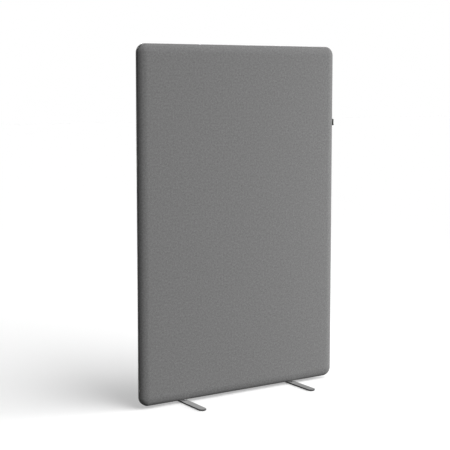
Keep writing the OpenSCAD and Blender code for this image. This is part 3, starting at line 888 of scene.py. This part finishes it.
class DIVIDER_OT_teeth(bpy.types.Operator):
    """Makes the zip's moulded teeth, all round on both tapes"""
    bl_idname = "divider.teeth"
    bl_label = "Zip teeth"
    bl_options = {"REGISTER", "UNDO"}

    def execute(self, context):
        cover, zipper = context.scene.divider_cover, context.scene.divider_zip
        plastic = moulded("moulded_teeth", zipper.black, roughness=0.34, grain=900.0)
        edge = Edge(cover)
        template = self.tooth(zipper, edge)
        for side, share in (("front", 0.25), ("rear", 0.75)):
            bm = bmesh.new()
            repeat_round(bm, edge, template, zipper.pitch, share, sides=(1, 2, 3))
            for low, high in self.right_runs(edge, zipper):
                repeat_up(bm, template, Vector((edge.out_x, 0, low)), high - low, zipper.pitch, share)
            if side == "rear":
                to_rear(bm)
            nodes = [f"{side}_zip_teeth", f"{side}_zip_chain"]
            new_piece(bm, f"{side}_teeth", "screen", plastic, nodes, sharp=50)
        bpy.data.meshes.remove(template)
        return {"FINISHED"}

    def right_runs(self, edge, zipper):
        """The chain on the right-hand edge: below the slider, and above the start box."""
        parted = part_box("slider_body")[1].z - zipper.parted_l
        bottom, start_box_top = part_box("front_zip_teeth")[0].z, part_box("zip_start_box")[1].z
        return (bottom, parted), (start_box_top, MID_Z + edge.out_z)

    def tooth(self, zipper, edge):
        """One tooth at the corner's middle: a body on the tape, a neck, and a head past mid-thickness."""
        one = bmesh.new()
        reach = zipper.head_reach
        half_body, half_neck, half_head = zipper.body_w / 2, zipper.neck_w / 2, zipper.head_w / 2
        # From the back of the body to the head's tip: a distance from mid-thickness, and half a width
        flank = ((zipper.chain_half, half_body * 0.9), (zipper.chain_half - zipper.tooth_round, half_body),
                 (zipper.root_v, half_body), (zipper.root_v - half_neck / 2, half_neck),
                 (-0.1 * reach, half_neck), (-0.4 * reach, half_head), (-0.8 * reach, half_head),
                 (-reach, half_head * 0.75))
        u = edge.corner_r - zipper.chain_out - zipper.chain_t
        outline = [(u, -v, half) for v, half in flank] + [(u, -v, -half) for v, half in reversed(flank)]
        face = extruded(one, outline, (zipper.chain_t, 0, 0))
        ease(one, list(face.edges), zipper.tooth_round)
        return as_template(one)


def eased_copy(node, name, body, material, width, segments=2):
    """A copy of a packed node with its sharp edges rounded, which stands for the node. Faces that turn by
    less than the flat angle are joined first."""
    flat, sharp = 0.5, 40
    bm = bmesh.new()
    bm.from_mesh(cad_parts[node].data)
    bmesh.ops.remove_doubles(bm, verts=bm.verts, dist=HAIR)
    bmesh.ops.dissolve_limit(bm, angle_limit=math.radians(flat), verts=bm.verts, edges=bm.edges)
    ease(bm, sharp_edges(bm, sharp), width, segments)
    return new_piece(bm, name, body, material, [node])


class DIVIDER_OT_zip_ends(bpy.types.Operator):
    """Makes the zip's two top stops and the start box at the chain's other end"""
    bl_idname = "divider.zip_ends"
    bl_label = "Zip stops and start box"
    bl_options = {"REGISTER", "UNDO"}
    stop_round_share = 0.6

    def execute(self, context):
        zipper = context.scene.divider_zip
        plastic = moulded("moulded_ends", zipper.black, roughness=0.38, grain=700.0)
        stop_round = zipper.edge_round * self.stop_round_share
        eased_copy("zip_top_stops", "top_stops", "screen", plastic, stop_round)
        eased_copy("zip_start_box", "start_box", "screen", plastic, zipper.edge_round)
        return {"FINISHED"}


class DIVIDER_OT_slider(bpy.types.Operator):
    """Makes the zip slider and the puller that swings in its ear"""
    bl_idname = "divider.slider"
    bl_label = "Slider and puller"
    bl_options = {"REGISTER", "UNDO"}
    grip_round_share = 1.6

    def execute(self, context):
        zipper = context.scene.divider_zip
        paint = coated("slider_paint", zipper.paint, roughness=0.3, coat=0.3)
        rubbery = moulded("puller_grip", zipper.paint, roughness=0.5, grain=600.0, gloss=0.2)
        eased_copy("slider_body", "slider_casting", "slider", paint, zipper.edge_round)
        grip_round = zipper.edge_round * self.grip_round_share
        eased_copy("slider_puller", "puller", "puller", rubbery, grip_round, segments=3)
        return {"FINISHED"}


class DIVIDER_OT_feet(bpy.types.Operator):
    """Makes the two flat feet, with their round ends and countersunk holes"""
    bl_idname = "divider.feet"
    bl_label = "Feet"
    bl_options = {"REGISTER", "UNDO"}
    end_steps, sharp, cut_sharp = 24, 60, 10
    bore_gap, bore_l = 0.1 * MM, 20 * MM

    def execute(self, context):
        feet = context.scene.divider_feet
        # The feet's upright sides are painted at a fifth of the coat's colour: painted shade.
        coat = coated("foot_powder_coat", feet.coat, roughness=0.55, gloss=0.05, sides=0.2)
        for side in ("left", "right"):
            low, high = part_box(f"{side}_foot")
            half_w = feet.foot_w / 2
            x, reach = (low.x + high.x) / 2, high.y - half_w
            bm = bmesh.new()
            self.end(bm, Vector((x, reach, low.z)), half_w)
            self.end(bm, Vector((x, -reach, low.z)), -half_w)
            bmesh.ops.edgeloop_fill(bm, edges=self.joined(bm))
            made = bmesh.ops.extrude_face_region(bm, geom=bm.faces[:], use_keep_orig=True)["geom"]
            bmesh.ops.translate(bm, vec=(0, 0, high.z - low.z), verts=verts_of(made))
            bmesh.ops.recalc_face_normals(bm, faces=bm.faces)
            ease(bm, sharp_edges(bm, self.sharp), feet.edge_round, segments=3)
            piece = new_piece(bm, f"{side}_foot_plate", "screen", coat, [f"{side}_foot"])
            cut_holes(piece, self.countersinks(feet, x, low.z), sharp=self.cut_sharp)
        return {"FINISHED"}

    def end(self, bm, middle, half_w):
        """A round end, from its right corner to its left one, or the other way for the front end."""
        start = bm.verts.new(middle + Vector((half_w, 0, 0)))
        bmesh.ops.spin(bm, geom=[start], cent=middle, axis=(0, 0, 1), angle=math.pi, steps=self.end_steps,
                       use_duplicate=False)

    def joined(self, bm):
        """Joins the open ends of the two arcs, and returns the whole outline."""
        tips = [v for v in bm.verts if len(v.link_edges) == 1]
        for x in {round(v.co.x, 6) for v in tips}:
            bm.edges.new([v for v in tips if abs(v.co.x - x) < MM])
        return bm.edges[:]

    def countersinks(self, feet, x, z):
        """The solids that the screws' holes take out of the foot at x, whose underside is at z. Each cone
        starts below the foot, and is as wide as the head at its underside."""
        bm = bmesh.new()
        head = (feet.head_d - feet.screw_d) / 2
        bore_r = feet.screw_d / 2 + self.bore_gap
        for place_x, y in bolt_places(feet):
            if abs(place_x - x) < feet.foot_w:
                cone = bmesh.ops.create_cone(bm, cap_ends=True, segments=HOLE_SIDES, depth=head * 1.5,
                                             radius1=(feet.head_d + head) / 2, radius2=feet.screw_d / 2)
                bmesh.ops.translate(bm, vec=(place_x, y, z + head / 4), verts=cone["verts"])
                rod = bmesh.ops.create_cone(bm, cap_ends=True, segments=HOLE_SIDES, depth=self.bore_l,
                                            radius1=bore_r, radius2=bore_r)
                bmesh.ops.translate(bm, vec=(place_x, y, z + self.bore_l / 2), verts=rod["verts"])
        return bm


class DIVIDER_OT_fasteners(bpy.types.Operator):
    """Makes the foot screws with their hexagon sockets, the spacer sleeves, the inserts and the glides"""
    bl_idname = "divider.fasteners"
    bl_label = "Foot fasteners"
    bl_options = {"REGISTER", "UNDO"}
    steel_round, pad_round = 0.2 * MM, 0.3 * MM

    def execute(self, context):
        feet = context.scene.divider_feet
        steel = plated("zinc_plated_steel", feet.steel, axis=2)
        rubber = moulded("glide_rubber", feet.rubber, roughness=0.6, grain=500.0)

        def steel_copy(node, name):
            return eased_copy(node, name, "screen", steel, self.steel_round)

        screws = steel_copy("foot_screws", "socket_screws")
        cut_holes(screws, self.sockets(feet))
        steel_copy("foot_spacers", "spacer_sleeves")
        steel_copy("threaded_inserts", "wood_inserts")
        eased_copy("glide_pads", "glides", "screen", rubber, self.pad_round, segments=3)
        return {"FINISHED"}

    def sockets(self, feet):
        """Hexagonal rods, sunk into the screws' heads by the sockets' depth."""
        bm = bmesh.new()
        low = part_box("foot_screws")[0].z
        across_corners = feet.hex_across / math.cos(math.pi / 6)
        for x, y in bolt_places(feet):
            made = bmesh.ops.create_cone(bm, cap_ends=True, segments=6, radius1=across_corners / 2,
                                         radius2=across_corners / 2, depth=2 * feet.hex_depth)["verts"]
            bmesh.ops.translate(bm, vec=(x, y, low), verts=made)
        return bm


def dress(node, material):
    """Gives a packed node its finish and leaves its shape alone."""
    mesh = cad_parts[node].data
    mesh.materials.clear()
    mesh.materials.append(material)


class DIVIDER_OT_timber(bpy.types.Operator):
    """Gives the pine frame inside its wood, with the grain along each bar"""
    bl_idname = "divider.timber"
    bl_label = "Pine frame"
    bl_options = {"REGISTER", "UNDO"}

    def execute(self, context):
        feet = context.scene.divider_feet
        upright, level = pine(feet, "pine_upright", axis=2), pine(feet, "pine_level", axis=0)
        for name in ("left_stile", "right_stile"):
            dress(name, upright)
        for name in ("top_rail", "middle_rail", "bottom_rail", "frame_dowels", "corner_blocks"):
            dress(name, level)
        return {"FINISHED"}


class DIVIDER_OT_studio(bpy.types.Operator):
    """Makes the white floor, the soft light and the camera"""
    bl_idname = "divider.studio"
    bl_label = "Studio"
    bl_options = {"REGISTER", "UNDO"}
    # The way from the middle of the panel to each lamp
    key_way = Vector((0.418, -0.623, 0.661))
    fill_way = Vector((3.1, -1.1, 0))
    back_way = Vector((0.40, 0.84, 0.36))
    # The camera's place, how many degrees it looks down and to the right, and its shift
    eye, look_down, look_right, shift_y = (-2.770, -4.114, 1.354), 5.744, 33.246, -0.06

    def execute(self, context):
        studio = context.scene.divider_studio
        self.floor(studio)
        self.light(studio)
        self.sky(studio)
        self.camera(studio)
        context.scene.view_settings.view_transform = "Standard"
        return {"FINISHED"}

    def floor(self, studio):
        bm = bmesh.new()
        bmesh.ops.create_grid(bm, x_segments=8, y_segments=8, size=studio.floor_size / 2)
        mesh = bpy.data.meshes.new("studio_floor")
        bm.to_mesh(mesh)
        bm.free()
        mesh.materials.append(self.floor_material(studio))
        floor = bpy.data.objects.new("studio_floor", mesh)
        bpy.context.scene.collection.objects.link(floor)

    def floor_material(self, studio):
        """White, with the object's soft shadow. It throws no light back on the object."""
        n = new_material("studio_white")
        lit = n.add("ShaderNodeBsdfDiffuse", {"Color": rgba((studio.floor_shade,) * 3)})
        glow = n.add("ShaderNodeEmission", {"Strength": studio.floor_glow})
        shown = n.add("ShaderNodeAddShader", {0: lit.outputs[0], 1: glow.outputs[0]})
        seen = n.add("ShaderNodeMixShader", {0: n.looked_at(), 2: shown.outputs[0]})
        n.put(n.tree.nodes["Material Output"].inputs["Surface"], seen.outputs[0])
        n.tree.nodes.remove(n.tree.nodes["Principled BSDF"])
        return n.owner

    def light(self, studio):
        """A far soft key from the right, before the screen and above it, a fill at mid-height, and a back
        light that casts no shadow."""
        key = self.lamp("key", "SUN", studio.key_power, self.key_way)
        key.angle = studio.key_angle
        fill = self.lamp("fill", "AREA", studio.fill_power, self.fill_way)
        fill.shape, fill.size = "SQUARE", studio.fill_size
        back = self.lamp("back", "SUN", studio.back_power, self.back_way)
        back.use_shadow = False

    def lamp(self, name, kind, power, away):
        """A lamp away from the middle of the panel, turned to it."""
        data = bpy.data.lights.new(name, kind)
        data.energy = power
        lamp = bpy.data.objects.new(name, data)
        aim = (-away).to_track_quat("-Z", "Y").to_matrix().to_4x4()
        lamp.matrix_world = Matrix.Translation(Vector((0, 0, MID_Z)) + away) @ aim
        bpy.context.scene.collection.objects.link(lamp)
        return data

    def sky(self, studio):
        """White to look at, and a softer light from all round."""
        world = bpy.data.worlds.new("studio_sky")
        bpy.context.scene.world = world
        n = Nodes(world)
        background = n.tree.nodes["Background"]
        background.inputs["Color"].default_value = (1, 1, 1, 1)
        n.put(background.inputs["Strength"], n.ramp(n.looked_at(), 0.0, 1.0, studio.ambient, 1.0))

    def camera(self, studio):
        """Looks at the screen from the left, a little down, with a small shift."""
        data = bpy.data.cameras.new("camera")
        data.lens, data.shift_y = studio.lens, self.shift_y
        camera = bpy.data.objects.new("camera", data)
        camera.location = self.eye
        camera.rotation_euler = (math.radians(90 - self.look_down), 0, math.radians(-self.look_right))
        bpy.context.scene.collection.objects.link(camera)
        bpy.context.scene.camera = camera


OPERATORS = (DIVIDER_OT_covers, DIVIDER_OT_padding, DIVIDER_OT_felt, DIVIDER_OT_tapes, DIVIDER_OT_teeth,
             DIVIDER_OT_zip_ends, DIVIDER_OT_slider, DIVIDER_OT_feet, DIVIDER_OT_fasteners,
             DIVIDER_OT_timber, DIVIDER_OT_studio)
SETTINGS = {"divider_cover": CoverSettings, "divider_zip": ZipSettings, "divider_feet": FootSettings,
            "divider_studio": StudioSettings}


class DIVIDER_PT_panel(bpy.types.Panel):
    """Lists the operators, and the sizes and colours that they use"""
    bl_idname = "DIVIDER_PT_panel"
    bl_label = "Divider screen"
    bl_space_type = "VIEW_3D"
    bl_region_type = "UI"
    bl_category = "Divider"

    def draw(self, context):
        for operator in OPERATORS:
            self.layout.operator(operator.bl_idname)
        for name, settings in SETTINGS.items():
            box = self.layout.box()
            box.label(text=settings.__doc__)
            for key in settings.__annotations__:
                box.prop(getattr(context.scene, name), key)


def register():
    for kind in (*SETTINGS.values(), *OPERATORS, DIVIDER_PT_panel):
        bpy.utils.register_class(kind)
    for name, settings in SETTINGS.items():
        setattr(bpy.types.Scene, name, PointerProperty(type=settings))


def unregister():
    for name in SETTINGS:
        delattr(bpy.types.Scene, name)
    for kind in (DIVIDER_PT_panel, *reversed(OPERATORS), *reversed(SETTINGS.values())):
        bpy.utils.unregister_class(kind)


def main():
    register()
    for operator in OPERATORS:
        getattr(bpy.ops.divider, operator.bl_idname.removeprefix("divider."))()


if __name__ == "__main__":
    main()
